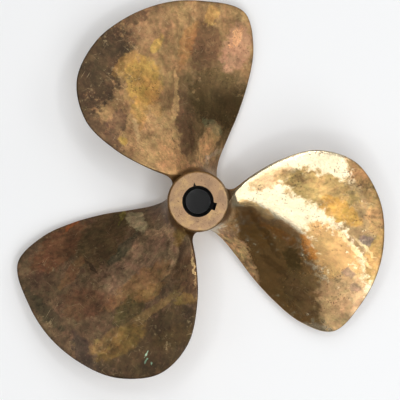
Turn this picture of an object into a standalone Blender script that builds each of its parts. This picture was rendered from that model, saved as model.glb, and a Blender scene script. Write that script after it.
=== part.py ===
"""Three-bladed ship propeller, cast in bronze as one piece with its hub. Real size, in metres.

The shaft axis is Z. The origin lies on it at the hub's aft face, which the propeller rests on,
and +Z runs forward, to the wide end of the tapered bore. +X runs through the keyway and along
the first blade. The screw is right-handed: a blade climbs along +Z as it turns from X to Y.
"""

from math import atan2, cos, hypot, pi, radians, sin, sqrt

import bmesh
import bpy
import numpy as np

MM = 0.001
INCH = 25.4 * MM

TIP_RADIUS = 8.5 * INCH
PITCH = 11 * INCH
ROOT_PITCH_SHARE = 0.84
FULL_PITCH_RADIUS = 0.6 * TIP_RADIUS
GENERATOR_HEIGHT = 36 * MM

HUB_LENGTH = 3 * INCH
HUB_FORWARD_RADIUS = 1.25 * INCH
HUB_AFT_RADIUS = 27.5 * MM
HUB_STRAIGHT = 16 * MM
HUB_TAPER_POWER = 1.5
RIM_CHAMFER = 2.2 * MM

BORE_FORWARD_RADIUS = 0.625 * INCH
BORE_TAPER = 1 / 16
KEYWAY_WIDTH = 5 / 16 * INCH
KEYWAY_REACH = 19.3 * MM
KEYWAY_STOP = 16 * MM

BLADES = 3
ROOT_THICKNESS = 12 * MM
TIP_THICKNESS = 3.6 * MM
EDGE_THICKNESS = 2.6 * MM
ROOT_EDGE_THICKNESS = 5 * MM
ROOT_EDGE_REACH = 70 * MM
THINNING_POWER = 0.9
ROOT_SWELL = 1.5 * MM
SWELL_REACH = 24 * MM
ROOT_FILLET = 12 * MM

# The blade's plan outline, seen along the shaft, in millimetres along and across the blade:
# from the trailing edge's root, round the tip, to the leading edge's root.
OUTLINE = [
    (15, -13), (25, -20), (38, -27), (59, -41), (85, -59), (113, -74), (148, -86),
    (185, -84), (208, -38), (213, 0), (207, 39), (189, 76), (151, 104),
    (107, 101), (72, 77), (45, 47), (30, 25), (18, 10),
]
TRAILING_CORNER = 7
LEADING_CORNER = 11

# Length, width and sweep of each blade against the outline: they were ground by hand,
# and the first is the shortest. Its thickness makes up for that, so that the three balance.
BLADE_SHAPES = [
    {"length": 0.96, "width": 0.94, "sweep": -0.07, "thickness": 1.10},
    {"length": 1.0, "width": 1.0, "sweep": -0.06, "thickness": 1.0},
    {"length": 1.0, "width": 1.0, "sweep": 0.0, "thickness": 1.0},
]

ROUND_STEPS = 72
HUB_ROWS = 15
CHORD_STEPS = 14
ROOT_ROWS = 7
OUTER_ROWS = 12
ROOT_ZONE = 0.12
CURVE_STEPS = 12
SHARP_ANGLE = radians(35)
MERGE_GAP = 0.01 * MM

# How far a blank or a cutter runs past the finished face.
SPARE = 5 * MM


def clear_scene():
    for old in list(bpy.data.objects):
        bpy.data.objects.remove(old)


def bronze():
    material = bpy.data.materials.new("cast_bronze")
    material.use_nodes = True
    shader = material.node_tree.nodes["Principled BSDF"]
    shader.inputs["Base Color"].default_value = (0.42, 0.26, 0.11, 1)
    shader.inputs["Metallic"].default_value = 1.0
    shader.inputs["Roughness"].default_value = 0.35
    return material


def new_object(name, bm, guide=True):
    bmesh.ops.recalc_face_normals(bm, faces=bm.faces)
    mesh = bpy.data.meshes.new(name)
    bm.to_mesh(mesh)
    bm.free()
    mesh.shade_smooth()
    mesh.set_sharp_from_angle(angle=SHARP_ANGLE)
    made = bpy.data.objects.new(name, mesh)
    bpy.context.collection.objects.link(made)
    if guide:
        made.hide_render = True
        made.display_type = "WIRE"
    return made


def turned(name, profile, guide=True):
    """A closed solid turned about Z from (radius, height) points that start and end on the axis."""
    bm = bmesh.new()
    points = [bm.verts.new((radius, 0, height)) for radius, height in profile]
    edges = [bm.edges.new(pair) for pair in zip(points, points[1:])]
    bmesh.ops.spin(
        bm, geom=points + edges, axis=(0, 0, 1), cent=(0, 0, 0), angle=2 * pi, steps=ROUND_STEPS
    )
    bmesh.ops.remove_doubles(bm, verts=bm.verts, dist=MERGE_GAP)
    return new_object(name, bm, guide)


def hub_radius(height):
    """The hub is straight below its forward face, then tapers towards the aft one."""
    run = (HUB_LENGTH - HUB_STRAIGHT - height) / (HUB_LENGTH - HUB_STRAIGHT)
    return HUB_FORWARD_RADIUS - (HUB_FORWARD_RADIUS - HUB_AFT_RADIUS) * max(run, 0) ** HUB_TAPER_POWER


def hub_blank():
    heights = np.linspace(-SPARE, HUB_LENGTH + SPARE, HUB_ROWS)
    side = [(hub_radius(height), height) for height in heights]
    return turned("hub", [(0, -SPARE)] + side + [(0, HUB_LENGTH + SPARE)], guide=False)


def machined_envelope():
    """Everything that the lathe leaves: flat end faces with a chamfer round each."""
    beyond = TIP_RADIUS + SPARE
    forward_edge = HUB_FORWARD_RADIUS - RIM_CHAMFER
    aft_edge = HUB_AFT_RADIUS - RIM_CHAMFER
    profile = [
        (0, 0),
        (aft_edge, 0),
        (aft_edge + RIM_CHAMFER, RIM_CHAMFER),
        (beyond, RIM_CHAMFER),
        (beyond, HUB_LENGTH - RIM_CHAMFER),
        (forward_edge + RIM_CHAMFER, HUB_LENGTH - RIM_CHAMFER),
        (forward_edge, HUB_LENGTH),
        (0, HUB_LENGTH),
    ]
    return turned("envelope", profile)


def bore_radius(height):
    return BORE_FORWARD_RADIUS - (HUB_LENGTH - height) * BORE_TAPER / 2


def bore():
    ends = [-SPARE, HUB_LENGTH + SPARE]
    side = [(bore_radius(height), height) for height in ends]
    return turned("bore", [(0, ends[0])] + side + [(0, ends[1])])


def keyway():
    """A slot along the taper, equally deep all the way, that stops short of the aft face."""
    bm = bmesh.new()
    bmesh.ops.create_cube(bm, size=1)
    for vert in bm.verts:
        height = HUB_LENGTH + SPARE if vert.co.z > 0 else KEYWAY_STOP
        outer = KEYWAY_REACH - BORE_FORWARD_RADIUS + bore_radius(height)
        vert.co.x = outer if vert.co.x > 0 else 0
        vert.co.y *= KEYWAY_WIDTH
        vert.co.z = height
    return new_object("keyway", bm)


def smooth_curve(points):
    """A smooth curve through the points, with CURVE_STEPS steps between each two."""
    points = np.array(points, float)
    gaps = np.linalg.norm(np.diff(points, axis=0), axis=1)
    slopes = np.diff(points, axis=0) / gaps[:, None]
    before, after = gaps[:-1, None], gaps[1:, None]
    inner = (slopes[:-1] * after + slopes[1:] * before) / (before + after)
    tangents = np.vstack([slopes[:1], inner, slopes[-1:]])
    t = np.linspace(0, 1, CURVE_STEPS, endpoint=False)[:, None]
    pieces = []
    for i, gap in enumerate(gaps):
        a, b = points[i], points[i + 1]
        pull_a, pull_b = tangents[i] * gap, tangents[i + 1] * gap
        pieces.append(
            (1 + 2 * t) * (1 - t) ** 2 * a
            + t * (1 - t) ** 2 * pull_a
            + t**2 * (3 - 2 * t) * b
            + t**2 * (t - 1) * pull_b
        )
    return np.vstack(pieces + [points[-1:]])


def inset(curve, distance):
    """The curve moved towards the blade's middle."""
    along = np.gradient(curve, axis=0)
    along /= np.linalg.norm(along, axis=1)[:, None]
    return curve + distance * np.stack([-along[:, 1], along[:, 0]], axis=1)


def spread(curve, shares):
    """Points at the given shares of the curve's length."""
    steps = np.linalg.norm(np.diff(curve, axis=0), axis=1)
    run = np.concatenate([[0], np.cumsum(steps)]) / steps.sum()
    return np.stack([np.interp(shares, run, curve[:, k]) for k in (0, 1)], axis=1)


def plan_grid(curve):
    """A net over the outline: rows run across the blade, from its root to its tip."""
    first, last = TRAILING_CORNER * CURVE_STEPS, LEADING_CORNER * CURVE_STEPS
    rows = np.concatenate(
        [
            np.linspace(0, ROOT_ZONE, ROOT_ROWS, endpoint=False),
            np.linspace(ROOT_ZONE, 1, OUTER_ROWS),
        ]
    )
    columns = np.linspace(0, 1, CHORD_STEPS + 1)
    trailing = spread(curve[: first + 1], rows)[:, None]
    leading = spread(curve[last:][::-1], rows)[:, None]
    tip = spread(curve[first : last + 1], columns)[None]
    root = trailing[:1] + columns[None, :, None] * (leading[:1] - trailing[:1])
    a, b = rows[:, None, None], columns[None, :, None]
    corners = (
        (1 - a) * (1 - b) * trailing[0]
        + (1 - a) * b * leading[0]
        + a * (1 - b) * trailing[-1]
        + a * b * leading[-1]
    )
    return (1 - a) * root + a * tip + (1 - b) * trailing + b * leading - corners


def pitch_at(radius):
    """Full pitch over the outer blade, easing to less at the root."""
    ease = max(FULL_PITCH_RADIUS - radius, 0) / (FULL_PITCH_RADIUS - HUB_FORWARD_RADIUS)
    return PITCH * (1 - (1 - ROOT_PITCH_SHARE) * min(ease, 1) ** 2)


def fillet(radius, height):
    """How far the blade's skin stands out where it runs into the hub."""
    clear = min(max(radius - hub_radius(height), 0), ROOT_FILLET)
    return ROOT_FILLET - sqrt(ROOT_FILLET**2 - (ROOT_FILLET - clear) ** 2)


def thickness_at(radius, across):
    """An ogival section: thickest in the middle and towards the root, with blunt edges."""
    near_root = min(max(1 - (radius - HUB_FORWARD_RADIUS) / ROOT_EDGE_REACH, 0), 1)
    edge = EDGE_THICKNESS + (ROOT_EDGE_THICKNESS - EDGE_THICKNESS) * near_root
    share = (radius - HUB_FORWARD_RADIUS) / (TIP_RADIUS - HUB_FORWARD_RADIUS)
    thinned = min(max(share, 0), 1) ** THINNING_POWER
    out = min(max((radius - HUB_FORWARD_RADIUS) / SWELL_REACH, 0), 1)
    swell = ROOT_SWELL * (1 - out) ** 2 * (1 + 2 * out)
    middle = ROOT_THICKNESS + (TIP_THICKNESS - ROOT_THICKNESS) * thinned
    return edge + swell + (middle - edge) * (1 - across**2)


def on_blade(plan, offset):
    """A plan point laid on the screw surface, then moved off it by the given distance."""
    radius = hypot(*plan)
    turn = atan2(plan[1], plan[0])
    pitch = pitch_at(radius)
    rise = GENERATOR_HEIGHT + pitch * turn / (2 * pi)
    slope = atan2(pitch, 2 * pi * radius)
    turn -= offset * sin(slope) / radius
    return radius * cos(turn), radius * sin(turn), rise + offset * cos(slope)


def blade(index, shape):
    """One blade, along +X until it is turned to its place."""
    outline = smooth_curve(OUTLINE) * MM
    outline[:, 1] = shape["width"] * outline[:, 1] + shape["sweep"] * outline[:, 0]
    outline[:, 0] *= shape["length"]
    skin = plan_grid(inset(outline, EDGE_THICKNESS / 2))
    rim = plan_grid(outline)
    rows, columns = skin.shape[:2]
    bm = bmesh.new()
    back, face = {}, {}
    for i in range(rows):
        for j in range(columns):
            across = 2 * j / (columns - 1) - 1
            radius = hypot(*skin[i, j])
            height = on_blade(skin[i, j], 0)[2]
            flare = fillet(radius, height)
            thick = shape["thickness"] * thickness_at(radius, across)
            back[i, j] = bm.verts.new(on_blade(skin[i, j], thick + flare))
            face[i, j] = bm.verts.new(on_blade(skin[i, j], -flare))
    for i in range(rows - 1):
        for j in range(columns - 1):
            bm.faces.new([back[i, j], back[i + 1, j], back[i + 1, j + 1], back[i, j + 1]])
            bm.faces.new([face[i, j], face[i, j + 1], face[i + 1, j + 1], face[i + 1, j]])
    border = [(i, 0) for i in range(rows)]
    border += [(rows - 1, j) for j in range(1, columns)]
    border += [(i, columns - 1) for i in range(rows - 2, -1, -1)]
    middle = {}
    for i, j in border:
        half = shape["thickness"] * thickness_at(hypot(*rim[i, j]), 1) / 2
        middle[i, j] = bm.verts.new(on_blade(rim[i, j], half))
    for here, there in zip(border, border[1:]):
        bm.faces.new([back[here], middle[here], middle[there], back[there]])
        bm.faces.new([face[here], face[there], middle[there], middle[here]])
    root_loop = [back[0, j] for j in range(columns)] + [middle[0, columns - 1]]
    root_loop += [face[0, j] for j in range(columns - 1, -1, -1)] + [middle[0, 0]]
    bm.faces.new(root_loop)
    made = new_object(f"blade_{index + 1}", bm)
    made.rotation_euler.z = 2 * pi * index / BLADES
    return made


def boolean(target, operation, tool):
    step = target.modifiers.new(f"{operation.lower()}_{tool.name}", "BOOLEAN")
    step.solver = "EXACT"
    step.operation = operation
    step.object = tool


def propeller():
    casting = hub_blank()
    casting.name = "propeller"
    casting.data.materials.append(bronze())
    for index, shape in enumerate(BLADE_SHAPES):
        boolean(casting, "UNION", blade(index, shape))
    boolean(casting, "INTERSECT", machined_envelope())
    boolean(casting, "DIFFERENCE", bore())
    boolean(casting, "DIFFERENCE", keyway())
    return casting


clear_scene()
propeller()
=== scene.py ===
"""Looks of a three-bladed ship propeller, cast in bronze in one piece and ground by hand.

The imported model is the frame: the shaft axis is Z, the hub stands on its aft face at the
origin, and the wide end of the bore, with the keyway on its +X side, looks up at the camera.
"""

from math import cos, pi, radians, sin

import bmesh
import bpy
import numpy as np
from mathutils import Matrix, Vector, noise


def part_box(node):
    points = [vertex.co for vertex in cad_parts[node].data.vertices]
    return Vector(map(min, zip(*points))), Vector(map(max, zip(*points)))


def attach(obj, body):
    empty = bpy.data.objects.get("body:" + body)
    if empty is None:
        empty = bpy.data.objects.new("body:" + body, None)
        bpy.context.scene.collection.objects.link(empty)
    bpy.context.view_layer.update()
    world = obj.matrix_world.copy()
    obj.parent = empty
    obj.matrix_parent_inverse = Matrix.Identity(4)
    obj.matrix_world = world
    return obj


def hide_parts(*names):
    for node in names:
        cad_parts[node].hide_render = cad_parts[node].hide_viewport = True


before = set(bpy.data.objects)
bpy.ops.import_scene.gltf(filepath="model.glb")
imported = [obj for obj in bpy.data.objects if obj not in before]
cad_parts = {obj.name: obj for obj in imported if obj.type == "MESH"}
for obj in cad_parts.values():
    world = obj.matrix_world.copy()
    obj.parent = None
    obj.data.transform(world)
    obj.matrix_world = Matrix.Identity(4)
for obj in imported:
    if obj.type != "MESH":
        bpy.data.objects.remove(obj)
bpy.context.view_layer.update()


# The hub. The middle of the casting, a short bronze barrel, straight below its forward face
# and tapered aft. The blades are cast on its side, and both of its ends were turned in a lathe.

MM = 0.001
INCH = 25.4 * MM
HUB_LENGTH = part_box("propeller")[1].z
HUB_FORWARD_RADIUS = 1.25 * INCH
HUB_AFT_RADIUS = 27.5 * MM
HUB_STRAIGHT = 16 * MM
HUB_TAPER_POWER = 1.5
RIM_RADIUS = 2.2 * MM
ROUND_STEPS = 240
HUB_ROWS = 70
SPARE = 5 * MM


def solid(name, points, faces):
    """A closed mesh from its points and faces, with its normals turned outwards."""
    bm = bmesh.new()
    corners = [bm.verts.new(point) for point in points]
    for face in faces:
        bm.faces.new([corners[i] for i in face])
    bmesh.ops.recalc_face_normals(bm, faces=bm.faces)
    mesh = bpy.data.meshes.new(name)
    bm.to_mesh(mesh)
    bm.free()
    made = bpy.data.objects.new(name, mesh)
    bpy.context.scene.collection.objects.link(made)
    return made


def turned(name, profile):
    """A solid turned about Z from (radius, height) points, the lowest first."""
    turns = np.linspace(0, 2 * pi, ROUND_STEPS, endpoint=False)
    points = [(r * cos(a), r * sin(a), z) for r, z in profile for a in turns]
    faces = []
    for row in range(len(profile) - 1):
        for k in range(ROUND_STEPS):
            here, there = row * ROUND_STEPS + k, row * ROUND_STEPS + (k + 1) % ROUND_STEPS
            faces.append([here, there, there + ROUND_STEPS, here + ROUND_STEPS])
    last = (len(profile) - 1) * ROUND_STEPS
    faces.append(list(range(ROUND_STEPS - 1, -1, -1)))
    faces.append(list(range(last, last + ROUND_STEPS)))
    return solid(name, points, faces)


def barrel_radius(height):
    """Radius of the hub's side before its rims are rounded."""
    run = (HUB_LENGTH - HUB_STRAIGHT - height) / (HUB_LENGTH - HUB_STRAIGHT)
    drop = np.maximum(run, 0) ** HUB_TAPER_POWER
    return HUB_FORWARD_RADIUS - (HUB_FORWARD_RADIUS - HUB_AFT_RADIUS) * drop


barrel_heights = np.linspace(-SPARE, HUB_LENGTH + SPARE, HUB_ROWS)
propeller = turned("bronze_propeller", [(barrel_radius(z), z) for z in barrel_heights])


# The blades. Three broad ones, cast on the hub, each a true screw surface with a flat face
# below and a rounded back above. A fillet runs round every root. They were ground by hand,
# so no two are quite alike: the first is the shortest and thickest.

TIP_RADIUS = 8.5 * INCH
PITCH = 11 * INCH
ROOT_PITCH_SHARE = 0.84
FULL_PITCH_RADIUS = 0.6 * TIP_RADIUS
GENERATOR_HEIGHT = 36 * MM
ROOT_THICKNESS = 12 * MM
TIP_THICKNESS = 3.6 * MM
EDGE_THICKNESS = 2.6 * MM
ROOT_EDGE_THICKNESS = 5 * MM
ROOT_EDGE_REACH = 70 * MM
THINNING_POWER = 0.9
ROOT_SWELL = 1.5 * MM
SWELL_REACH = 24 * MM
ROOT_FILLET = 12 * MM

# The plan outline in millimetres along and across a blade, from the trailing edge's root,
# round the tip, to the leading edge's root.
BLADE_OUTLINE = [
    (15, -13), (25, -20), (38, -27), (59, -41), (85, -59), (113, -74), (148, -86),
    (185, -84), (208, -38), (213, 0), (207, 39), (189, 76), (151, 104),
    (107, 101), (72, 77), (45, 47), (30, 25), (18, 10),
]
TRAILING_CORNER = 7
LEADING_CORNER = 11
BLADES = [
    {"length": 0.96, "width": 0.94, "sweep": -0.07, "thickness": 1.10},
    {"length": 1.0, "width": 1.0, "sweep": -0.06, "thickness": 1.0},
    {"length": 1.0, "width": 1.0, "sweep": 0.0, "thickness": 1.0},
]
CURVE_STEPS = 24
CHORD_STEPS = 84
ROOT_ROWS = 34
OUTER_ROWS = 84
ROOT_ZONE = 0.16
EDGE_STEPS = 8


def smooth_curve(points):
    """A smooth curve through the points, with CURVE_STEPS steps between each two."""
    points = np.array(points, float)
    gaps = np.linalg.norm(np.diff(points, axis=0), axis=1)
    slopes = np.diff(points, axis=0) / gaps[:, None]
    before, after = gaps[:-1, None], gaps[1:, None]
    inner = (slopes[:-1] * after + slopes[1:] * before) / (before + after)
    tangents = np.vstack([slopes[:1], inner, slopes[-1:]])
    t = np.linspace(0, 1, CURVE_STEPS, endpoint=False)[:, None]
    pieces = []
    for i, gap in enumerate(gaps):
        pull_a, pull_b = tangents[i] * gap, tangents[i + 1] * gap
        pieces.append(
            (1 + 2 * t) * (1 - t) ** 2 * points[i]
            + t * (1 - t) ** 2 * pull_a
            + t**2 * (3 - 2 * t) * points[i + 1]
            + t**2 * (t - 1) * pull_b
        )
    return np.vstack(pieces + [points[-1:]])


def blade_outline(shape):
    """One blade's plan outline in metres, with the length, width and sweep it was ground to."""
    outline = smooth_curve(BLADE_OUTLINE) * MM
    across = shape["width"] * outline[:, 1] + shape["sweep"] * outline[:, 0]
    return np.stack([shape["length"] * outline[:, 0], across], axis=1)


def inset(curve, distance):
    """The curve moved towards the blade's middle."""
    along = np.gradient(curve, axis=0)
    along /= np.linalg.norm(along, axis=1)[:, None]
    return curve + distance * np.stack([-along[:, 1], along[:, 0]], axis=1)


def spread(curve, shares):
    """Points at the given shares of the curve's length."""
    steps = np.linalg.norm(np.diff(curve, axis=0), axis=1)
    run = np.concatenate([[0], np.cumsum(steps)]) / steps.sum()
    return np.stack([np.interp(shares, run, curve[:, k]) for k in (0, 1)], axis=1)


def plan_net(curve):
    """A net over the outline: rows run across the blade, from its root to its tip."""
    first, last = TRAILING_CORNER * CURVE_STEPS, LEADING_CORNER * CURVE_STEPS
    rows = np.concatenate(
        [
            np.linspace(0, ROOT_ZONE, ROOT_ROWS, endpoint=False),
            np.linspace(ROOT_ZONE, 1, OUTER_ROWS),
        ]
    )
    columns = np.linspace(0, 1, CHORD_STEPS + 1)
    trailing = spread(curve[: first + 1], rows)[:, None]
    leading = spread(curve[last:][::-1], rows)[:, None]
    tip = spread(curve[first : last + 1], columns)[None]
    root = trailing[:1] + columns[None, :, None] * (leading[:1] - trailing[:1])
    a, b = rows[:, None, None], columns[None, :, None]
    corners = (
        (1 - a) * (1 - b) * trailing[0]
        + (1 - a) * b * leading[0]
        + a * (1 - b) * trailing[-1]
        + a * b * leading[-1]
    )
    return (1 - a) * root + a * tip + (1 - b) * trailing + b * leading - corners


def pitch_at(radius):
    """Full pitch over the outer blade, easing to less at the root."""
    ease = np.maximum(FULL_PITCH_RADIUS - radius, 0) / (FULL_PITCH_RADIUS - HUB_FORWARD_RADIUS)
    return PITCH * (1 - (1 - ROOT_PITCH_SHARE) * np.minimum(ease, 1) ** 2)


def flare_at(radius, height):
    """How far the fillet stands out of the blade's skin where it runs into the hub."""
    clear = np.clip(radius - barrel_radius(height), 0, ROOT_FILLET)
    return ROOT_FILLET - np.sqrt(ROOT_FILLET**2 - (ROOT_FILLET - clear) ** 2)


def thickness_at(radius, across):
    """A rounded back over a flat face, with the edge's thickness left at both sides."""
    share = (radius - HUB_FORWARD_RADIUS) / (TIP_RADIUS - HUB_FORWARD_RADIUS)
    thinned = np.clip(share, 0, 1) ** THINNING_POWER
    out = np.clip((radius - HUB_FORWARD_RADIUS) / SWELL_REACH, 0, 1)
    swell = ROOT_SWELL * (1 - out) ** 2 * (1 + 2 * out)
    middle = ROOT_THICKNESS + (TIP_THICKNESS - ROOT_THICKNESS) * thinned
    near_root = np.clip(1 - (radius - HUB_FORWARD_RADIUS) / ROOT_EDGE_REACH, 0, 1)
    edge = EDGE_THICKNESS + (ROOT_EDGE_THICKNESS - EDGE_THICKNESS) * near_root
    return edge + swell + (middle - edge) * (1 - across**2)


def on_screw(plan, offset):
    """Plan points laid on the screw surface, then moved off it by the given distance."""
    radius = np.linalg.norm(plan, axis=-1)
    turn = np.arctan2(plan[..., 1], plan[..., 0])
    pitch = pitch_at(radius)
    slope = np.arctan2(pitch, 2 * pi * radius)
    height = GENERATOR_HEIGHT + pitch * turn / (2 * pi) + offset * np.cos(slope)
    turn = turn - offset * np.sin(slope) / radius
    return np.stack([radius * np.cos(turn), radius * np.sin(turn), height], axis=-1)


def blade(index, shape):
    """One blade: its back and face skins, joined round the edge by a rounded strip."""
    outline = blade_outline(shape)
    skin = plan_net(inset(outline, EDGE_THICKNESS / 2))
    rim = plan_net(outline)
    rows, columns = skin.shape[:2]
    across = np.linspace(-1, 1, columns)[None, :]
    radius = np.linalg.norm(skin, axis=-1)
    flare = flare_at(radius, on_screw(skin, 0)[..., 2])
    thick = shape["thickness"] * thickness_at(radius, across)
    points = list(on_screw(skin, thick + flare).reshape(-1, 3))
    points += list(on_screw(skin, -flare).reshape(-1, 3))
    below = rows * columns
    faces = []
    for i in range(rows - 1):
        for j in range(columns - 1):
            a, b = i * columns + j, (i + 1) * columns + j
            faces.append([a, b, b + 1, a + 1])
            faces.append([below + a, below + a + 1, below + b + 1, below + b])
    border = [(i, 0) for i in range(rows)]
    border += [(rows - 1, j) for j in range(1, columns - 1)]
    border += [(i, columns - 1) for i in range(rows - 1, -1, -1)]
    strips = []
    for i, j in border:
        strip = [i * columns + j]
        for step in range(1, EDGE_STEPS):
            bend = pi * step / EDGE_STEPS
            plan = skin[i, j] + (rim[i, j] - skin[i, j]) * sin(bend)
            offset = thick[i, j] / 2 + (thick[i, j] / 2 + flare[i, j]) * cos(bend)
            strip.append(len(points))
            points.append(on_screw(plan, offset))
        strip.append(below + i * columns + j)
        strips.append(strip)
    for here, there in zip(strips, strips[1:]):
        for k in range(EDGE_STEPS):
            faces.append([here[k], here[k + 1], there[k + 1], there[k]])
    root_loop = list(range(columns)) + strips[-1][1:]
    root_loop += [below + j for j in range(columns - 2, -1, -1)] + strips[0][-2:0:-1]
    faces.append(root_loop)
    made = solid(f"blade_{index + 1}", points, faces)
    made.rotation_euler.z = 2 * pi * index / len(BLADES)
    return made


# The machining. The lathe left both ends of the hub flat, with rounded rims, and bored the
# shaft's taper right through. The keyway is a slot cut along the bore. The forward face has a
# small nick at the bore's edge.

BORE_FORWARD_RADIUS = 0.625 * INCH
BORE_TAPER = 1 / 16
BORE_EDGE = 0.4 * MM
RIM_STEPS = 8
KEYWAY_WIDTH = 5 / 16 * INCH
KEYWAY_REACH = 19.3 * MM
KEYWAY_STOP = 16 * MM
NICK_TURN = radians(119)
NICK_REACH = 23 * MM
NICK_WIDTH = 6 * MM
NICK_DEPTH = 3 * MM


def bore_radius(height):
    """Radius of the shaft's taper, widest at the forward face."""
    return BORE_FORWARD_RADIUS - (HUB_LENGTH - height) * BORE_TAPER / 2


def turned_envelope():
    """All that the lathe leaves standing between the two faces."""
    beyond = TIP_RADIUS + SPARE
    bends = np.linspace(0, pi / 2, RIM_STEPS + 1)
    rim = [(RIM_RADIUS * (1 - sin(bend)), RIM_RADIUS * (1 - cos(bend))) for bend in bends]
    aft = [(HUB_AFT_RADIUS - inward, drop) for inward, drop in rim]
    forward = [(HUB_FORWARD_RADIUS - inward, HUB_LENGTH - drop) for inward, drop in rim[::-1]]
    outer = [(beyond, RIM_RADIUS), (beyond, HUB_LENGTH - RIM_RADIUS)]
    return turned("envelope", aft + outer + forward)


def bore():
    """What the lathe bored out, with the forward edge broken."""
    heights = [-SPARE, HUB_LENGTH - BORE_EDGE]
    profile = [(bore_radius(height), height) for height in heights]
    top = HUB_LENGTH + SPARE
    profile.append((profile[-1][0] + BORE_EDGE + SPARE, top))
    return turned("bore", profile)


def keyway():
    """A slot along the taper, equally deep all the way, that stops short of the aft face."""
    points = []
    for height in (KEYWAY_STOP, HUB_LENGTH + SPARE):
        outer = KEYWAY_REACH - BORE_FORWARD_RADIUS + bore_radius(height)
        side = KEYWAY_WIDTH / 2
        points += [(0, -side, height), (outer, -side, height)]
        points += [(outer, side, height), (0, side, height)]
    faces = [[3, 2, 1, 0], [4, 5, 6, 7]]
    faces += [[k, (k + 1) % 4, 4 + (k + 1) % 4, 4 + k] for k in range(4)]
    return solid("keyway", points, faces)


def nick():
    """A shallow wedge, deepest at the bore's edge."""
    along = Vector((cos(NICK_TURN), sin(NICK_TURN), 0))
    across = Vector((-along.y, along.x, 0))
    face = Vector((0, 0, HUB_LENGTH + NICK_DEPTH / 4))
    start = along * (BORE_FORWARD_RADIUS - NICK_DEPTH)
    points = [
        face + start + across * NICK_WIDTH / 2,
        face + start - across * NICK_WIDTH / 2,
        face + along * NICK_REACH,
        face + start - Vector((0, 0, NICK_DEPTH)),
    ]
    return solid("nick", points, [[0, 1, 2], [0, 3, 1], [1, 3, 2], [2, 3, 0]])


def cut(target, operation, tool):
    """Joins the tool to the target or cuts it away, and gives the tool back."""
    step = target.modifiers.new(f"{operation.lower()}_{tool.name}", "BOOLEAN")
    step.solver = "MANIFOLD"
    step.operation = operation
    step.object = tool
    return tool


tools = [cut(propeller, "UNION", blade(k, shape)) for k, shape in enumerate(BLADES)]
tools.append(cut(propeller, "INTERSECT", turned_envelope()))
tools.append(cut(propeller, "DIFFERENCE", bore()))
tools.append(cut(propeller, "DIFFERENCE", keyway()))
tools.append(cut(propeller, "DIFFERENCE", nick()))


def tone(code):
    """An sRGB hex value as a linear colour."""
    parts = [int(code[k : k + 2], 16) / 255 for k in (1, 3, 5)]
    linear = [p / 12.92 if p <= 0.04045 else ((p + 0.055) / 1.055) ** 2.4 for p in parts]
    return (*linear, 1)


def add(tree, kind, links=None, **settings):
    """Adds a node: settings are its properties, links its inputs, each a value or a socket.

    A Mix node's inputs go by number, as their names repeat: 0 is the share of the second one,
    2 and 3 are two numbers, with the result at 0, and 6 and 7 two colours, with it at 2.
    """
    made = tree.nodes.new(kind)
    for name, value in settings.items():
        setattr(made, name, value)
    for name, value in (links or {}).items():
        if isinstance(value, bpy.types.NodeSocket):
            tree.links.new(value, made.inputs[name])
        else:
            made.inputs[name].default_value = value
    return made


def new_finish(name):
    """A new material, its nodes, its shader and the place on the casting in millimetres."""
    made = bpy.data.materials.new(name)
    made.use_nodes = True
    nodes = made.node_tree
    object_place = add(nodes, "ShaderNodeTexCoord").outputs["Object"]
    in_mm = add(
        nodes, "ShaderNodeVectorMath", {0: object_place, "Scale": 1 / MM}, operation="SCALE"
    ).outputs[0]
    return made, nodes, nodes.nodes["Principled BSDF"], in_mm


# Turned bronze: bright once, now a soft sheen under a thin pinkish tan film with yellow and
# brown patches about as wide as a fingertip, small dark specks and the lathe's rings. The real
# rings, some 0.2 mm apart, and the specks are too fine to show and are drawn coarser.
FACE_TAN, FACE_YELLOW, FACE_BROWN = "#A48464", "#B7966A", "#8E735A"
SPECK = "#5A4030"
PATCH_LENGTH = 13
YELLOW_EDGE = (0.50, 0.60)
BROWN_EDGE, BROWN_COVER = (0.52, 0.64), 0.8
SPECK_LENGTH, SPECK_EDGE, SPECK_COVER = 1.6, (0.60, 0.70), 0.7
RING_PITCH, RING_SHADE, RING_DEPTH = 0.8, 0.07, 0.012 * MM
FACE_METALLIC = 0.75
FACE_ROUGHNESS = (0.30, 0.55)
# A noise's middle value, and the two that nearly all of it lies between.
NOISE_MIDDLE = 0.5
NOISE_SPAN = (0.3, 0.7)

turned_bronze, tree, shader, place = new_finish("turned_bronze")
patches = add(
    tree,
    "ShaderNodeTexNoise",
    {"Vector": place, "Scale": 1 / PATCH_LENGTH, "Detail": 7.0, "Roughness": 0.6},
).outputs["Color"]
patches = add(tree, "ShaderNodeSeparateXYZ", {0: patches}).outputs
yellow = add(
    tree,
    "ShaderNodeMapRange",
    {"Value": patches[0], "From Min": YELLOW_EDGE[0], "From Max": YELLOW_EDGE[1]},
).outputs[0]
colour = add(
    tree,
    "ShaderNodeMix",
    {0: yellow, 6: tone(FACE_TAN), 7: tone(FACE_YELLOW)},
    data_type="RGBA",
).outputs[2]
brown = add(
    tree,
    "ShaderNodeMapRange",
    {
        "Value": patches[1],
        "From Min": BROWN_EDGE[0],
        "From Max": BROWN_EDGE[1],
        "To Max": BROWN_COVER,
    },
).outputs[0]
colour = add(
    tree, "ShaderNodeMix", {0: brown, 6: colour, 7: tone(FACE_BROWN)}, data_type="RGBA"
).outputs[2]
speck = add(
    tree, "ShaderNodeTexNoise", {"Vector": place, "Scale": 1 / SPECK_LENGTH, "Detail": 4.0}
).outputs["Fac"]
speck = add(
    tree,
    "ShaderNodeMapRange",
    {
        "Value": speck,
        "From Min": SPECK_EDGE[0],
        "From Max": SPECK_EDGE[1],
        "To Max": SPECK_COVER,
    },
).outputs[0]
colour = add(
    tree, "ShaderNodeMix", {0: speck, 6: colour, 7: tone(SPECK)}, data_type="RGBA"
).outputs[2]
level = add(
    tree, "ShaderNodeVectorMath", {0: place, 1: (1, 1, 0)}, operation="MULTIPLY"
).outputs[0]
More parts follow.
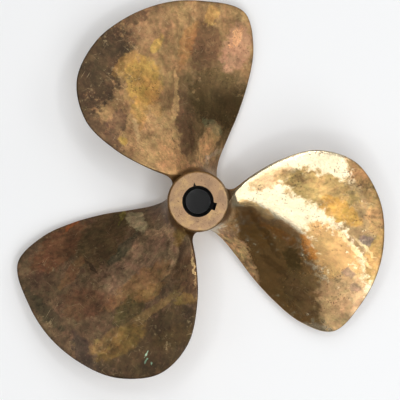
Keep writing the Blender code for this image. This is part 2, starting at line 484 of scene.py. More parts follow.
radius = add(tree, "ShaderNodeVectorMath", {0: level}, operation="LENGTH").outputs["Value"]
ring = add(
    tree,
    "ShaderNodeTexNoise",
    {"W": radius, "Scale": 1 / RING_PITCH, "Detail": 2.0},
    noise_dimensions="1D",
).outputs["Fac"]
shade = add(
    tree,
    "ShaderNodeMapRange",
    {
        "Value": ring,
        "From Min": NOISE_SPAN[0],
        "From Max": NOISE_SPAN[1],
        "To Min": 1 - RING_SHADE,
        "To Max": 1 + RING_SHADE,
    },
).outputs[0]
colour = add(
    tree, "ShaderNodeVectorMath", {0: colour, "Scale": shade}, operation="SCALE"
).outputs[0]
tree.links.new(colour, shader.inputs["Base Color"])
shader.inputs["Metallic"].default_value = FACE_METALLIC
rough = add(
    tree,
    "ShaderNodeMapRange",
    {"Value": patches[2], "To Min": FACE_ROUGHNESS[0], "To Max": FACE_ROUGHNESS[1]},
).outputs[0]
tree.links.new(rough, shader.inputs["Roughness"])
relief = add(tree, "ShaderNodeMath", {0: ring, 1: RING_DEPTH}, operation="MULTIPLY").outputs[0]
bump = add(tree, "ShaderNodeBump", {"Height": relief, "Distance": 1.0, "Strength": 1.0})
tree.links.new(bump.outputs[0], shader.inputs["Normal"])

# Black scale: old grease and oxide in the bore, the keyway and the nick, laid on near black so
# that it is also painted shade deep inside them. It swallows nearly all light, and shines faintly
# in greasy smears about as wide as a fingertip.
SCALE_AND_SHADE_BLACK, SCALE_BROWN = "#060504", "#1A130B"
SMEAR_LENGTH = 7
SCALE_ROUGHNESS = (0.35, 0.75)

bore_scale_and_shade, tree, shader, place = new_finish("bore_scale_and_shade")
smear = add(
    tree, "ShaderNodeTexNoise", {"Vector": place, "Scale": 1 / SMEAR_LENGTH, "Detail": 5.0}
).outputs["Fac"]
colour = add(
    tree,
    "ShaderNodeMix",
    {0: smear, 6: tone(SCALE_AND_SHADE_BLACK), 7: tone(SCALE_BROWN)},
    data_type="RGBA",
).outputs[2]
tree.links.new(colour, shader.inputs["Base Color"])
shader.inputs["Metallic"].default_value = 0.0
rough = add(
    tree,
    "ShaderNodeMapRange",
    {"Value": smear, "To Min": SCALE_ROUGHNESS[0], "To Max": SCALE_ROUGHNESS[1]},
).outputs[0]
tree.links.new(rough, shader.inputs["Roughness"])


# The hand work. The cast skin was ground by eye, which leaves it gently wavy, and the corner
# between each fillet and the barrel was blended. The turned faces and the bore stay true.

SAME_PLACE = 0.01 * MM
BLEND_REACH = 2 * MM
BLEND_PASSES = 6
BLEND_STRENGTH = 0.5
# The waves' lengths and heights: of the whole blade, of the wheel and of single strokes.
WAVES = [(60 * MM, 0.55 * MM), (27 * MM, 0.16 * MM), (11 * MM, 0.035 * MM)]
TRUE_MARGIN = 0.05 * MM
FADE = 5 * MM
SHARP_EDGE = radians(32)

shape_of_casting = bpy.context.evaluated_depsgraph_get()
casting = bpy.data.meshes.new_from_object(propeller.evaluated_get(shape_of_casting))
propeller.modifiers.clear()
propeller.data = casting
for tool in tools:
    bpy.data.objects.remove(tool)

bm = bmesh.new()
bm.from_mesh(casting)
bmesh.ops.remove_doubles(bm, verts=bm.verts, dist=SAME_PLACE)
seam = []
for vert in bm.verts:
    clear = vert.co.xy.length - barrel_radius(vert.co.z)
    inside = 2 * RIM_RADIUS < vert.co.z < HUB_LENGTH - 2 * RIM_RADIUS
    if inside and abs(clear) < BLEND_REACH:
        seam.append(vert)
for _ in range(BLEND_PASSES):
    bmesh.ops.smooth_vert(
        bm,
        verts=seam,
        factor=BLEND_STRENGTH,
        use_axis_x=True,
        use_axis_y=True,
        use_axis_z=True,
    )
bm.normal_update()
moves = []
for vert in bm.verts:
    clear = min(vert.co.xy.length - BORE_FORWARD_RADIUS - 2 * FADE, FADE)
    ends = min(vert.co.z, HUB_LENGTH - vert.co.z) - RIM_RADIUS - TRUE_MARGIN
    if vert.co.xy.length > HUB_FORWARD_RADIUS + FADE:
        ends = FADE
    fade = max(min(ends, FADE), 0) / FADE * max(clear, 0) / FADE
    height = sum(size * noise.noise(vert.co / length) for length, size in WAVES)
    moves.append(vert.normal * height * fade)
for vert, move in zip(bm.verts, moves):
    vert.co += move
bmesh.ops.triangulate(bm, faces=[face for face in bm.faces if len(face.verts) > 4])
# Two triangles that are left back to back on the same corners are a closed sliver, and both go.
pairs = {}
for face in bm.faces:
    pairs.setdefault(frozenset(face.verts), []).append(face)
slivers = [face for pair in pairs.values() if len(pair) > 1 for face in pair]
bmesh.ops.delete(bm, geom=slivers, context="FACES")
bm.to_mesh(casting)
bm.free()
casting.shade_smooth()
casting.set_sharp_from_angle(angle=SHARP_EDGE)


# The metal. Manganese bronze, a yellow brass with some iron and manganese, ground and once
# polished. It is pale gold where it is bare. Elsewhere it has tarnished in films of tan, brown,
# olive and violet that make it darker and duller, worn through here and there. Where a back
# mirrors the dim room, its films are laid on darker than the tarnish alone, as painted shade.

# Each back between its films, colour and dullness: the third, the first and the second blade.
# The third blade's back, which mirrors the dim room, is tarnish darkened further as painted shade.
BACKS = [("#6C5946", 0.55), ("#CFC1A4", 0.14), ("#977C59", 0.50)]
BACK_BLUR = 0.02
UNDERSIDE_BRONZE = "#C4A878"
UNDERSIDE_DULLNESS = 0.5
# A back looks up: the normal's height where the underside ends and where the back is whole.
BACK_TILT = (-0.1, 0.15)
# Films on the backs, each over the ones before: blade, millimetres along and across it, half
# length and half width, turn in degrees, colour, cover, dullness.
FILMS = [
    (0, 176, 36, 66, 42, -62, "#8B7552", 0.95, 0.45),
    (0, 64, 46, 34, 13, 38, "#C0A47C", 0.85, 0.35),
    (0, 62, -12, 36, 13, -22, "#7A5A34", 0.85, 0.18),
    (0, 43, -24, 24, 15, -50, "#A98A6A", 0.92, 0.50),
    (0, 84, -1, 50, 11, -6, "#8A6438", 0.85, 0.16),
    (0, 58, 10, 32, 8, -8, "#CFAD78", 0.85, 0.16),
    (0, 52, 3, 20, 8, 5, "#8A6438", 0.85, 0.16),
    (0, 37, -6, 9, 18, -8, "#8A6A40", 0.85, 0.35),
    (0, 108, -50, 98, 55, -30, "#96713F", 0.94, 0.16),
    (0, 78, -14, 44, 5, -36, "#4A3318", 0.35, 0.16),
    (0, 104, -44, 40, 5, -33, "#4A3318", 0.35, 0.16),
    (0, 113, -30, 22, 10, -45, "#4C4424", 0.60, 0.20),
    (0, 90, -8, 34, 7, -14, "#A06A36", 0.55, 0.20),
    (0, 142, -62, 50, 30, -18, "#6A5639", 0.85, 0.42),
    (0, 118, 49, 60, 25, -4, "#A8905E", 0.95, 0.50),
    (0, 146, 34, 34, 14, -16, "#B38D46", 0.85, 0.45),
    (0, 82, 52, 24, 14, 10, "#7E6A42", 0.50, 0.60),
    (0, 158, 74, 40, 13, -38, "#9C8058", 0.95, 0.60),
    (0, 186, 40, 40, 17, -62, "#A98D62", 0.95, 0.55),
    (0, 197, 0, 40, 14, -90, "#B3945F", 0.95, 0.50),
    (0, 154, -12, 60, 28, -36, "#B08C58", 0.92, 0.28),
    (0, 176, -66, 46, 26, -60, "#A78E6A", 0.95, 0.50),
    (0, 184, -44, 34, 24, -60, "#C2A57E", 0.85, 0.50),
    (0, 180, 13, 10, 8, 20, "#7D6C6C", 0.75, 0.50),
    (0, 174, -26, 12, 6, -20, "#87766A", 0.70, 0.50),
    (0, 188, -38, 8, 6, 0, "#87766A", 0.60, 0.50),
    (0, 175, -2, 34, 4, -29, "#F2DFAE", 0.35, 0.20),
    (0, 184, 5, 26, 3, -25, "#F2DFAE", 0.30, 0.20),
    # Pale dull tan beside the first blade's trailing root: tarnish, painted pale as a painted
    # reflection of the white paper that this strip mirrors.
    (0, 60, -44, 48, 16, -39, "#C9AE8C", 0.95, 0.80),
    (0, 125, -12, 22, 10, -50, "#B5742F", 0.70, 0.20),
    (1, 78, 28, 54, 34, 10, "#C4A278", 0.65, 0.50),
    (1, 192, 12, 40, 26, -70, "#8F7456", 0.80, 0.50),
    (1, 45, 16, 34, 24, 20, "#C39D72", 0.80, 0.50),
    (1, 98, 88, 54, 17, 36, "#5E4A38", 0.90, 0.50),
    (1, 158, 76, 84, 44, -40, "#463828", 0.95, 0.55),
    (1, 98, 62, 24, 12, -30, "#5F4A40", 0.60, 0.60),
    (1, 136, 28, 36, 24, -15, "#BC9853", 0.78, 0.45),
    (1, 110, 36, 32, 11, -20, "#B5904F", 0.60, 0.45),
    (1, 156, 40, 24, 13, -50, "#AD8A4E", 0.45, 0.45),
    (1, 172, 4, 16, 7, -40, "#C2A24E", 0.45, 0.45),
    (1, 77, 60, 8, 5, 30, "#B59D42", 0.50, 0.50),
    (1, 112, 22, 24, 9, 10, "#A2733F", 0.35, 0.45),
    (1, 90, -6, 54, 14, -5, "#705440", 0.85, 0.35),
    (1, 100, -42, 66, 56, 15, "#6C5A40", 0.60, 0.32),
    (1, 104, -46, 48, 42, 15, "#5A4A2E", 0.75, 0.28),
    (1, 164, -44, 40, 24, -20, "#6C503B", 0.80, 0.35),
    (1, 166, -28, 38, 12, -35, "#B5814F", 0.45, 0.40),
    (1, 150, -76, 38, 22, -35, "#B98F74", 0.85, 0.35),
    (1, 162, -80, 18, 9, -50, "#D8A67C", 0.80, 0.30),
    (1, 190, -60, 16, 10, -35, "#BF9C62", 0.85, 0.50),
    (1, 56, -22, 36, 12, -35, "#CBA57A", 0.95, 0.55),
    (1, 74, -33, 16, 7, 35, "#848A6A", 0.50, 0.50),
    (1, 44, -27, 18, 4, -48, "#B8A892", 0.75, 0.60),
    (1, 116, -1, 40, 4, -14, "#DDBA84", 0.45, 0.30),
    (1, 88, 46, 20, 3, 0, "#CDB084", 0.80, 0.40),
    (1, 203, 24, 26, 8, -80, "#5F4C38", 0.80, 0.60),
    (2, 145, -66, 54, 24, 2, "#7A5038", 0.65, 0.50),
    (2, 110, -74, 24, 4, 5, "#A5603A", 0.80, 0.50),
    (2, 104, -40, 50, 30, 10, "#5E4E36", 0.85, 0.45),
    (2, 63, -28, 22, 9, -68, "#BFB494", 0.70, 0.50),
    (2, 72, -44, 10, 4, 30, "#93903F", 0.50, 0.50),
    (2, 90, 6, 74, 30, 2, "#98806C", 0.75, 0.60),
    (2, 64, -8, 40, 9, -18, "#BC9E82", 0.65, 0.60),
    (2, 50, 16, 28, 8, 40, "#C0A386", 0.70, 0.55),
    (2, 99, 24, 44, 8, -12, "#B2946F", 0.60, 0.55),
    (2, 128, 14, 40, 9, -8, "#A08468", 0.45, 0.55),
    (2, 36, 14, 16, 8, 20, "#B8964E", 0.45, 0.45),
    (2, 130, -27, 16, 3, 100, "#231809", 0.60, 0.60),
    (2, 108, 20, 56, 13, -6, "#A5805C", 0.85, 0.45),
    (2, 60, 50, 30, 24, 50, "#5C4732", 0.85, 0.50),
    (2, 140, 80, 96, 46, 0, "#4A3C28", 0.92, 0.50),
    (2, 128, 34, 34, 14, 6, "#5E5A2C", 0.45, 0.50),
    (2, 100, 34, 26, 10, -10, "#A88458", 0.70, 0.55),
    (2, 160, 0, 40, 22, -30, "#6E4E38", 0.60, 0.50),
    (2, 182, -52, 26, 12, -60, "#5B4638", 0.75, 0.50),
    (2, 92, -16, 34, 8, 4, "#505040", 0.70, 0.45),
    (2, 150, -34, 30, 9, 14, "#8E6A4C", 0.55, 0.50),
    (2, 116, 50, 60, 6, -7, "#86704A", 0.70, 0.45),
    (2, 160, 54, 42, 14, -6, "#705A32", 0.85, 0.50),
    (2, 166, 43, 34, 11, -10, "#A0844E", 0.42, 0.50),
    (2, 78, 66, 20, 8, -30, "#86703A", 0.45, 0.50),
    (2, 112, 84, 34, 16, -20, "#45371F", 0.70, 0.50),
    (2, 196, 34, 34, 12, 80, "#463C3A", 0.65, 0.55),
    (2, 200, -28, 40, 12, 95, "#4C4434", 0.85, 0.55),
    # A thin pale line along the third blade's leading edge near its root: a painted highlight of
    # the edge.
    (2, 51, 48, 26, 1.8, 54, "#C9AE80", 0.80, 0.30),
    (2, 148, 78, 5, 0.9, 30, "#9CC4B4", 0.95, 0.60),
    (2, 152, 84, 5, 0.9, 38, "#8FB8A8", 0.95, 0.60),
    (2, 149, 91, 3, 1.0, 70, "#8FB8A8", 0.95, 0.60),
]

# The films drifted and frayed as they grew, so their edges are pushed about by two noises,
# and wore through in rags, which a third noise makes: each noise's length and reach in
# millimetres, the strength of the rags, and how much of a film is left where it starts to show
# and where it is whole.
DRIFT_LENGTH, DRIFT = 30, 16
FRAY_LENGTH, FRAY = 6, 8
RAG_LENGTH, RAG = 6, 3.0
RAG_EDGE = (0.14, 0.44)

# Ground bronze: almost a mirror where it is bare, a brown sheen where a film lies on it.
bronze, tree, shader, place = new_finish("ground_bronze")
normal = add(tree, "ShaderNodeNewGeometry").outputs["Normal"]
tilt = add(tree, "ShaderNodeSeparateXYZ", {0: normal}).outputs["Z"]
upward = add(
    tree,
    "ShaderNodeMapRange",
    {"Value": tilt, "From Min": BACK_TILT[0], "From Max": BACK_TILT[1]},
).outputs[0]
wander = place
for length, reach in ((DRIFT_LENGTH, DRIFT), (FRAY_LENGTH, FRAY)):
    swirl = add(
        tree, "ShaderNodeTexNoise", {"Vector": place, "Scale": 1 / length, "Detail": 3.0}
    ).outputs["Color"]
    push = add(
        tree, "ShaderNodeVectorMath", {0: swirl, 1: (NOISE_MIDDLE,) * 3}, operation="SUBTRACT"
    ).outputs[0]
    wander = add(
        tree,
        "ShaderNodeVectorMath",
        {0: push, 1: (reach,) * 3, 2: wander},
        operation="MULTIPLY_ADD",
    ).outputs[0]
rags = add(
    tree,
    "ShaderNodeTexNoise",
    {"Vector": place, "Scale": 1 / RAG_LENGTH, "Detail": 5.0, "Roughness": 0.6},
).outputs["Color"]
rags = add(
    tree,
    "ShaderNodeVectorMath",
    {0: rags, 1: (RAG,) * 3, 2: (1 - RAG * NOISE_MIDDLE,) * 3},
    operation="MULTIPLY_ADD",
).outputs[0]
rags = add(tree, "ShaderNodeSeparateXYZ", {0: rags}).outputs
flat = add(
    tree, "ShaderNodeVectorMath", {0: wander, 1: (1, 1, 0)}, operation="MULTIPLY"
).outputs[0]
blade_places = [
    add(
        tree,
        "ShaderNodeVectorRotate",
        {"Vector": flat, "Angle": -2 * pi * k / len(BLADES)},
        rotation_type="Z_AXIS",
    ).outputs[0]
    for k in range(len(BLADES))
]

# A share of the full turn about the shaft, which is 1/6, 3/6 and 5/6 in the middle of a back.
turn_share = add(
    tree, "ShaderNodeTexGradient", {"Vector": flat}, gradient_type="RADIAL"
).outputs["Fac"]
colour, dullness = tone(BACKS[0][0]), BACKS[0][1]
for k, (code, dull) in enumerate(BACKS[1:] + BACKS[:1], 1):
    border = k / len(BACKS)
    mask = add(
        tree,
        "ShaderNodeMapRange",
        {"Value": turn_share, "From Min": border - BACK_BLUR, "From Max": border},
    ).outputs[0]
    colour = add(
        tree, "ShaderNodeMix", {0: mask, 6: colour, 7: tone(code)}, data_type="RGBA"
    ).outputs[2]
    dullness = add(tree, "ShaderNodeMix", {0: mask, 2: dullness, 3: dull}).outputs[0]
for k, (index, along, across, length, width, turn, code, cover, dull) in enumerate(FILMS):
    local = add(
        tree,
        "ShaderNodeMapping",
        {
            "Vector": blade_places[index],
            "Location": (along, across, 0),
            "Rotation": (0, 0, radians(turn)),
            "Scale": (length, width, 1),
        },
        vector_type="TEXTURE",
    ).outputs[0]
    near = add(
        tree, "ShaderNodeTexGradient", {"Vector": local}, gradient_type="SPHERICAL"
    ).outputs["Fac"]
    near = add(tree, "ShaderNodeMath", {0: near, 1: rags[k % 3]}, operation="MULTIPLY").outputs[0]
    mask = add(
        tree,
        "ShaderNodeMapRange",
        {"Value": near, "From Min": RAG_EDGE[0], "From Max": RAG_EDGE[1], "To Max": cover},
        interpolation_type="SMOOTHSTEP",
    ).outputs[0]
    colour = add(
        tree, "ShaderNodeMix", {0: mask, 6: colour, 7: tone(code)}, data_type="RGBA"
    ).outputs[2]
    dullness = add(tree, "ShaderNodeMix", {0: mask, 2: dullness, 3: dull}).outputs[0]
colour = add(
    tree,
    "ShaderNodeMix",
    {0: upward, 6: tone(UNDERSIDE_BRONZE), 7: colour},
    data_type="RGBA",
).outputs[2]
dullness = add(tree, "ShaderNodeMix", {0: upward, 2: UNDERSIDE_DULLNESS, 3: dullness}).outputs[0]

# No film is even. Three noises in one make it darker or lighter, redder or more olive, and
# stain it, all of it more where the film is dull: in clouds about as wide as a thumb, and again
# in a mottle the size of drops. For both, length in millimetres, shading and staining.
CLOUDS = [(21, 0.9, 0.9), (5.5, 0.55, 0.5)]
RUSSET_TINT, OLIVE_TINT, TINT_EDGE = "#FFE4D6", "#ECEDD0", (0.38, 0.62)
STAIN, STAIN_EDGE = "#241A0D", (0.56, 0.74)

for length, depth, spots in CLOUDS:
    clouds = add(
        tree,
        "ShaderNodeTexNoise",
        {"Vector": place, "Scale": 1 / length, "Detail": 7.0, "Roughness": 0.62},
    ).outputs["Color"]
    clouds = add(tree, "ShaderNodeSeparateXYZ", {0: clouds}).outputs
    shade = add(
        tree,
        "ShaderNodeMapRange",
        {
            "Value": clouds[0],
            "From Min": NOISE_SPAN[0],
            "From Max": NOISE_SPAN[1],
            "To Min": -depth,
            "To Max": depth,
        },
    ).outputs[0]
    shade = add(
        tree, "ShaderNodeMath", {0: shade, 1: dullness, 2: 1.0}, operation="MULTIPLY_ADD"
    ).outputs[0]
    colour = add(
        tree, "ShaderNodeVectorMath", {0: colour, "Scale": shade}, operation="SCALE"
    ).outputs[0]
    hue = add(
        tree,
        "ShaderNodeMapRange",
        {"Value": clouds[1], "From Min": TINT_EDGE[0], "From Max": TINT_EDGE[1]},
    ).outputs[0]
    tint = add(
        tree,
        "ShaderNodeMix",
        {0: hue, 6: tone(OLIVE_TINT), 7: tone(RUSSET_TINT)},
        data_type="RGBA",
    ).outputs[2]
    tinted = add(
        tree, "ShaderNodeVectorMath", {0: colour, 1: tint}, operation="MULTIPLY"
    ).outputs[0]
    colour = add(
        tree, "ShaderNodeMix", {0: dullness, 6: colour, 7: tinted}, data_type="RGBA"
    ).outputs[2]
    stain = add(
        tree,
        "ShaderNodeMapRange",
        {
            "Value": clouds[2],
            "From Min": STAIN_EDGE[0],
            "From Max": STAIN_EDGE[1],
            "To Max": spots,
        },
    ).outputs[0]
    stain = add(tree, "ShaderNodeMath", {0: stain, 1: dullness}, operation="MULTIPLY").outputs[0]
    colour = add(
        tree, "ShaderNodeMix", {0: stain, 6: colour, 7: tone(STAIN)}, data_type="RGBA"
    ).outputs[2]

# The grinding wheel's strokes ran out from the hub, and the film lies a little thicker in them.
# A real stroke is a millimetre wide or less, too fine to show, and is drawn coarser, with its
# width growing outwards to STROKE_WIDTH at STROKE_RADIUS.
STROKE_WIDTH, STROKE_LENGTH = 2.4, 13
STROKE_RADIUS = 100
STROKE_DEPTH = 0.5

reach = add(tree, "ShaderNodeVectorMath", {0: flat}, operation="LENGTH").outputs["Value"]
ray = add(tree, "ShaderNodeVectorMath", {0: flat}, operation="NORMALIZE").outputs[0]
ray = add(
    tree,
    "ShaderNodeVectorMath",
    {0: ray, "Scale": STROKE_RADIUS / STROKE_WIDTH},
    operation="SCALE",
).outputs[0]
reach = add(tree, "ShaderNodeMath", {0: reach, 1: STROKE_LENGTH}, operation="DIVIDE").outputs[0]
reach = add(tree, "ShaderNodeCombineXYZ", {"Z": reach}).outputs[0]
strokes = add(tree, "ShaderNodeVectorMath", {0: ray, 1: reach}, operation="ADD").outputs[0]
strokes = add(
    tree, "ShaderNodeTexNoise", {"Vector": strokes, "Scale": 1.0, "Detail": 3.0, "Roughness": 0.6}
).outputs["Fac"]
strokes = add(
    tree,
    "ShaderNodeMapRange",
    {
        "Value": strokes,
        "From Min": NOISE_SPAN[0],
        "From Max": NOISE_SPAN[1],
        "To Min": -STROKE_DEPTH,
        "To Max": STROKE_DEPTH,
    },
).outputs[0]
strokes = add(
    tree, "ShaderNodeMath", {0: strokes, 1: dullness, 2: 1.0}, operation="MULTIPLY_ADD"
).outputs[0]
colour = add(
    tree, "ShaderNodeVectorMath", {0: colour, "Scale": strokes}, operation="SCALE"
).outputs[0]

# Dried water left thin dark lines, each along the middle value of a noise, a puddle's width
# apart. The film also wore away in small pale flecks, more of them in some places. Lines and
# flecks of less than a millimetre are too fine to show and are drawn coarser.
PUDDLE_LENGTH = 16
LINE_EDGE, LINE_COVER = 0.010, 0.7
FLECK, FLECK_LENGTH = "#DCC08E", 2.6
FLECK_CROWDING = 0.8
FLECK_EDGE, FLECK_COVER = (1.05, 1.20), 0.5

shore = add(
    tree,
    "ShaderNodeTexNoise",
    {"Vector": place, "Scale": 1 / PUDDLE_LENGTH, "Detail": 5.0, "Roughness": 0.6},
).outputs["Color"]
shore = add(tree, "ShaderNodeSeparateXYZ", {0: shore}).outputs
line = add(
    tree, "ShaderNodeMath", {0: shore[0], 1: NOISE_MIDDLE}, operation="SUBTRACT"
).outputs[0]
line = add(tree, "ShaderNodeMath", {0: line}, operation="ABSOLUTE").outputs[0]
line = add(
    tree,
    "ShaderNodeMapRange",
    {"Value": line, "From Max": LINE_EDGE, "To Min": LINE_COVER, "To Max": 0.0},
).outputs[0]
line = add(tree, "ShaderNodeMath", {0: line, 1: dullness}, operation="MULTIPLY").outputs[0]
colour = add(
    tree, "ShaderNodeMix", {0: line, 6: colour, 7: tone(STAIN)}, data_type="RGBA"
).outputs[2]
fleck = add(
    tree,
    "ShaderNodeTexNoise",
    {"Vector": place, "Scale": 1 / FLECK_LENGTH, "Detail": 3.0, "Roughness": 0.6},
).outputs["Fac"]
fleck = add(
    tree,
    "ShaderNodeMath",
    {0: shore[1], 1: FLECK_CROWDING, 2: fleck},
    operation="MULTIPLY_ADD",
).outputs[0]
fleck = add(
    tree,
    "ShaderNodeMapRange",
    {
        "Value": fleck,
        "From Min": FLECK_EDGE[0],
        "From Max": FLECK_EDGE[1],
        "To Max": FLECK_COVER,
    },
).outputs[0]
fleck = add(tree, "ShaderNodeMath", {0: fleck, 1: dullness}, operation="MULTIPLY").outputs[0]
colour = add(
    tree, "ShaderNodeMix", {0: fleck, 6: colour, 7: tone(FLECK)}, data_type="RGBA"
).outputs[2]

# Freckles: small dark pits from the sand mould and from the sea, thick in some places. A real
# one is half a millimetre to one, too fine to show, and is drawn coarser.
PIT, FRECKLE_LENGTH = "#33251A", 1.9
CROWD_LENGTH, CROWDING = 14 * FRECKLE_LENGTH, 0.45
FRECKLE_EDGE, FRECKLE_COVER = (0.89, 0.97), 0.6

crowd = add(
    tree, "ShaderNodeTexNoise", {"Vector": place, "Scale": 1 / CROWD_LENGTH, "Detail": 2.0}
).outputs["Fac"]
freckle = add(
    tree, "ShaderNodeTexNoise", {"Vector": place, "Scale": 1 / FRECKLE_LENGTH, "Detail": 2.0}
).outputs["Fac"]
freckle = add(
    tree, "ShaderNodeMath", {0: crowd, 1: CROWDING, 2: freckle}, operation="MULTIPLY_ADD"
).outputs[0]
freckle = add(
    tree,
    "ShaderNodeMapRange",
    {
        "Value": freckle,
        "From Min": FRECKLE_EDGE[0],
        "From Max": FRECKLE_EDGE[1],
        "To Max": FRECKLE_COVER,
    },
    interpolation_type="SMOOTHSTEP",
).outputs[0]
colour = add(
    tree, "ShaderNodeMix", {0: freckle, 6: colour, 7: tone(PIT)}, data_type="RGBA"
).outputs[2]

# Scratches: short cuts through the film, in bundles of three directions, that show bare metal.
# Real ones are a few tenths of a millimetre wide, too fine to show, and are drawn coarser.
SCRATCH = "#D8BE90"
SCRATCH_TURNS = (35, 78, -24)
SCRATCH_WIDTH, SCRATCH_LENGTH = 0.9, 22
SCRATCH_CROWDING = 0.06
SCRATCH_EDGE, SCRATCH_COVER = (0.79, 0.86), 0.28

scratches = 0.0
for k, turn in enumerate(SCRATCH_TURNS):
    laid = add(
        tree,
        "ShaderNodeMapping",
        {
            "Vector": place,
            "Rotation": (0, 0, radians(turn)),
            "Scale": (SCRATCH_LENGTH, SCRATCH_WIDTH, SCRATCH_LENGTH),
            "Location": (turn, turn, 0),
        },
        vector_type="TEXTURE",
    ).outputs[0]
    cutting = add(
        tree, "ShaderNodeTexNoise", {"Vector": laid, "Scale": 1.0, "Detail": 1.0}
    ).outputs["Fac"]
    cutting = add(
        tree,
        "ShaderNodeMath",
        {0: rags[k], 1: SCRATCH_CROWDING, 2: cutting},
        operation="MULTIPLY_ADD",
    ).outputs[0]
    cutting = add(
        tree,
        "ShaderNodeMapRange",
        {
            "Value": cutting,
            "From Min": SCRATCH_EDGE[0],
            "From Max": SCRATCH_EDGE[1],
            "To Max": SCRATCH_COVER,
        },
    ).outputs[0]
    scratches = add(
        tree, "ShaderNodeMath", {0: cutting, 1: scratches}, operation="MAXIMUM"
    ).outputs[0]
colour = add(
    tree, "ShaderNodeMix", {0: scratches, 6: colour, 7: tone(SCRATCH)}, data_type="RGBA"
).outputs[2]

# Soot and old grease in the root fillets and on the barrel, where no hand could polish, laid on
# dark enough that it is also painted shade in the hollow between each root and the barrel. It
# covers what lies within a set clearance of the barrel's side, fading over a set width, and fades
# away downwards, from a top height to a foot height.
SOOT_AND_SHADE, SOOT_AND_SHADE_DULLNESS = "#6E502C", 0.5
SOOT_AND_SHADE_CLEAR, SOOT_AND_SHADE_FADE = 5.5 * MM, 2.5 * MM
SOOT_AND_SHADE_FOOT, SOOT_AND_SHADE_TOP = 24 * MM, 54 * MM
SOOT_AND_SHADE_COVER = 0.8

co = np.zeros(len(casting.vertices) * 3)
casting.vertices.foreach_get("co", co)
co = co.reshape(-1, 3)
clear = np.linalg.norm(co[:, :2], axis=1) - barrel_radius(co[:, 2])
near_barrel = np.clip((SOOT_AND_SHADE_CLEAR - clear) / SOOT_AND_SHADE_FADE, 0, 1)
high = np.clip((co[:, 2] - SOOT_AND_SHADE_FOOT) / (SOOT_AND_SHADE_TOP - SOOT_AND_SHADE_FOOT), 0, 1)
soot_and_shade_layer = casting.attributes.new("root_soot_and_shade", "FLOAT", "POINT")
soot_and_shade_layer.data.foreach_set("value", (near_barrel * high * SOOT_AND_SHADE_COVER).astype(np.float32))

# Soot and painted shade in the root hollows, laid over the films.
soot_and_shade = add(tree, "ShaderNodeAttribute", attribute_name="root_soot_and_shade").outputs["Fac"]
soot_and_shade_colour = add(
    tree, "ShaderNodeVectorMath", {0: tone(SOOT_AND_SHADE)[:3], "Scale": shade}, operation="SCALE"
).outputs[0]
colour = add(
    tree, "ShaderNodeMix", {0: soot_and_shade, 6: colour, 7: soot_and_shade_colour}, data_type="RGBA"
).outputs[2]
dullness = add(tree, "ShaderNodeMix", {0: soot_and_shade, 2: dullness, 3: SOOT_AND_SHADE_DULLNESS}).outputs[0]
tree.links.new(colour, shader.inputs["Base Color"])

# The grinding left a grain, which makes the sheen uneven. Under the grain the roughness runs
# from a polished metal's to a matt film's, and a dull film shows less of the metal below it.
GRAIN_LENGTH, GRAIN_SHARE = 4, 0.16
BARE_UNEVEN = 0.12
BRONZE_ROUGHNESS = (0.09, 0.62)
FILM_METALLIC = 0.45
GRIND_DEPTH, PIT_DEPTH = 0.06 * MM, 0.12 * MM

grain = add(
    tree, "ShaderNodeTexNoise", {"Vector": place, "Scale": 1 / GRAIN_LENGTH, "Detail": 5.0}
).outputs["Fac"]
uneven = add(
    tree, "ShaderNodeMath", {0: grain, 1: GRAIN_SHARE, 2: dullness}, operation="MULTIPLY_ADD"
).outputs[0]
rough = add(
    tree,
    "ShaderNodeMapRange",
    {
        "Value": uneven,
        "From Min": BARE_UNEVEN,
        "To Min": BRONZE_ROUGHNESS[0],
        "To Max": BRONZE_ROUGHNESS[1],
    },
).outputs[0]
tree.links.new(rough, shader.inputs["Roughness"])
metallic = add(
    tree, "ShaderNodeMapRange", {"Value": dullness, "To Min": 1.0, "To Max": FILM_METALLIC}
).outputs[0]
tree.links.new(metallic, shader.inputs["Metallic"])
relief = add(
    tree, "ShaderNodeMath", {0: grain, 1: GRIND_DEPTH, 2: 0.0}, operation="MULTIPLY_ADD"
).outputs[0]
relief = add(
    tree, "ShaderNodeMath", {0: freckle, 1: -PIT_DEPTH, 2: relief}, operation="MULTIPLY_ADD"
).outputs[0]
bump = add(tree, "ShaderNodeBump", {"Height": relief, "Distance": 1.0, "Strength": 1.0})
tree.links.new(bump.outputs[0], shader.inputs["Normal"])

# Both end faces are turned bronze, what else lies within the nick's reach is black scale and
# painted shade, and the rest is ground bronze.
casting.materials.clear()
for surface in (bronze, turned_bronze, bore_scale_and_shade):
    casting.materials.append(surface)
GROUND, TURNED, BLACK_SCALE_AND_SHADE = range(3)
for face in casting.polygons:
    out = face.center.xy.length
    ends = min(face.center.z, HUB_LENGTH - face.center.z)
    barrel = HUB_FORWARD_RADIUS if face.center.z > HUB_LENGTH / 2 else HUB_AFT_RADIUS
    if ends < TRUE_MARGIN and out < barrel - RIM_RADIUS:
        face.material_index = TURNED
    elif out < NICK_REACH:
        face.material_index = BLACK_SCALE_AND_SHADE
    else:
        face.material_index = GROUND

# The fine casting stands for the plain one and rides where it did.
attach(propeller, "root")
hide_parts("propeller")


# The floor. A wide sheet of plain white paper that the hub stands on. It is matt, so it shows
# only soft shadows and no reflections.

PAPER_SIZE = 12.0
PAPER_WHITE = "#F8F9FA"
PAPER_ROUGHNESS, PAPER_SHINE = 0.9, 0.2

paper = solid(
    "paper",
    [(x * PAPER_SIZE / 2, y * PAPER_SIZE / 2, 0) for x, y in ((-1, -1), (1, -1), (1, 1), (-1, 1))],
    [[0, 1, 2, 3]],
)
white = bpy.data.materials.new("white_paper")
white.use_nodes = True
shader = white.node_tree.nodes["Principled BSDF"]
shader.inputs["Base Color"].default_value = tone(PAPER_WHITE)
shader.inputs["Roughness"].default_value = PAPER_ROUGHNESS
shader.inputs["Specular IOR Level"].default_value = PAPER_SHINE
paper.data.materials.append(white)


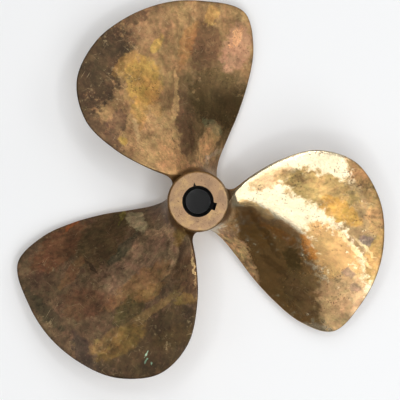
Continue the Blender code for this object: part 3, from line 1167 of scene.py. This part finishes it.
# The camera looks straight down the shaft from above the forward face, where a pixel of the
# picture is PIXEL wide. The first blade points right and a little down in the picture.

CAMERA_HEIGHT = 1.3
PICTURE_TURN = radians(17.1)
PICTURE_PIXELS = 400
PIXEL = 1.028 * MM
SHIFT_PIXELS = (2.0, 1.4)
SENSOR_MM = 36

lens = bpy.data.cameras.new("camera")
lens.sensor_width = SENSOR_MM
lens.lens = SENSOR_MM * CAMERA_HEIGHT / (PICTURE_PIXELS * PIXEL)
lens.shift_x = SHIFT_PIXELS[0] / PICTURE_PIXELS
lens.shift_y = SHIFT_PIXELS[1] / PICTURE_PIXELS
camera = bpy.data.objects.new("camera", lens)
camera.location = (0, 0, HUB_LENGTH + CAMERA_HEIGHT)
camera.rotation_euler = (0, 0, PICTURE_TURN)
bpy.context.scene.collection.objects.link(camera)
bpy.context.scene.camera = camera


# The light. In a dim room a large softbox hangs over the lower right of the picture, with
# smaller ones over its right, upper right, upper and left sides. Six bright strips in a ring
# round the camera light the paper in the gaps between the blades.

BOX_HEIGHT = 2.4
# Places, right and up in the picture, and sizes are shares of BOX_HEIGHT, turns are degrees.
SOFTBOXES = [
    {"name": "key", "place": (0.32, -0.893), "size": (0.62, 1.1), "turn": 19.5, "radiance": 2.15},
    {"name": "right", "place": (0.88, -0.05), "size": (0.5, 0.5), "turn": 0, "radiance": 2.0},
    {"name": "side", "place": (1.2, 0.8), "size": (1.9, 0.38), "turn": 28, "radiance": 1.0},
    {"name": "far", "place": (0.05, 1.0), "size": (0.5, 0.9), "turn": 0, "radiance": 2.0},
    {"name": "left", "place": (-0.95, -0.27), "size": (0.9, 0.42), "turn": 15, "radiance": 0.9},
    {"name": "ring_1", "place": (0.38, 0.0), "size": (0.09, 0.34), "turn": 0, "radiance": 12.5},
    {"name": "ring_2", "place": (0.19, 0.33), "size": (0.09, 0.34), "turn": 60, "radiance": 8.8},
    {"name": "ring_3", "place": (-0.19, 0.33), "size": (0.09, 0.34), "turn": 120, "radiance": 7.2},
    {"name": "ring_4", "place": (-0.38, 0.0), "size": (0.09, 0.34), "turn": 0, "radiance": 7.2},
    {"name": "ring_5", "place": (-0.19, -0.33), "size": (0.09, 0.34), "turn": 60, "radiance": 8.8},
    {"name": "ring_6", "place": (0.19, -0.33), "size": (0.09, 0.34), "turn": 120, "radiance": 12.5},
]
ROOM_LIGHT = 0.22

for box in SOFTBOXES:
    light = bpy.data.lights.new(f"{box['name']}_softbox", "AREA")
    light.shape = "RECTANGLE"
    light.size, light.size_y = (side * BOX_HEIGHT for side in box["size"])
    light.energy = box["radiance"] * pi * light.size * light.size_y
    hung = bpy.data.objects.new(light.name, light)
    x, y = (part * BOX_HEIGHT for part in box["place"])
    c, s = cos(PICTURE_TURN), sin(PICTURE_TURN)
    hung.location = (x * c - y * s, x * s + y * c, BOX_HEIGHT)
    hung.rotation_euler.z = PICTURE_TURN + radians(box["turn"])
    bpy.context.scene.collection.objects.link(hung)

room = bpy.data.worlds.new("dim_room")
room.use_nodes = True
room.node_tree.nodes["Background"].inputs["Color"].default_value = tone("#FFFFFF")
room.node_tree.nodes["Background"].inputs["Strength"].default_value = ROOM_LIGHT
bpy.context.scene.world = room
bpy.context.scene.view_settings.view_transform = "Standard"

bpy.context.view_layer.update()
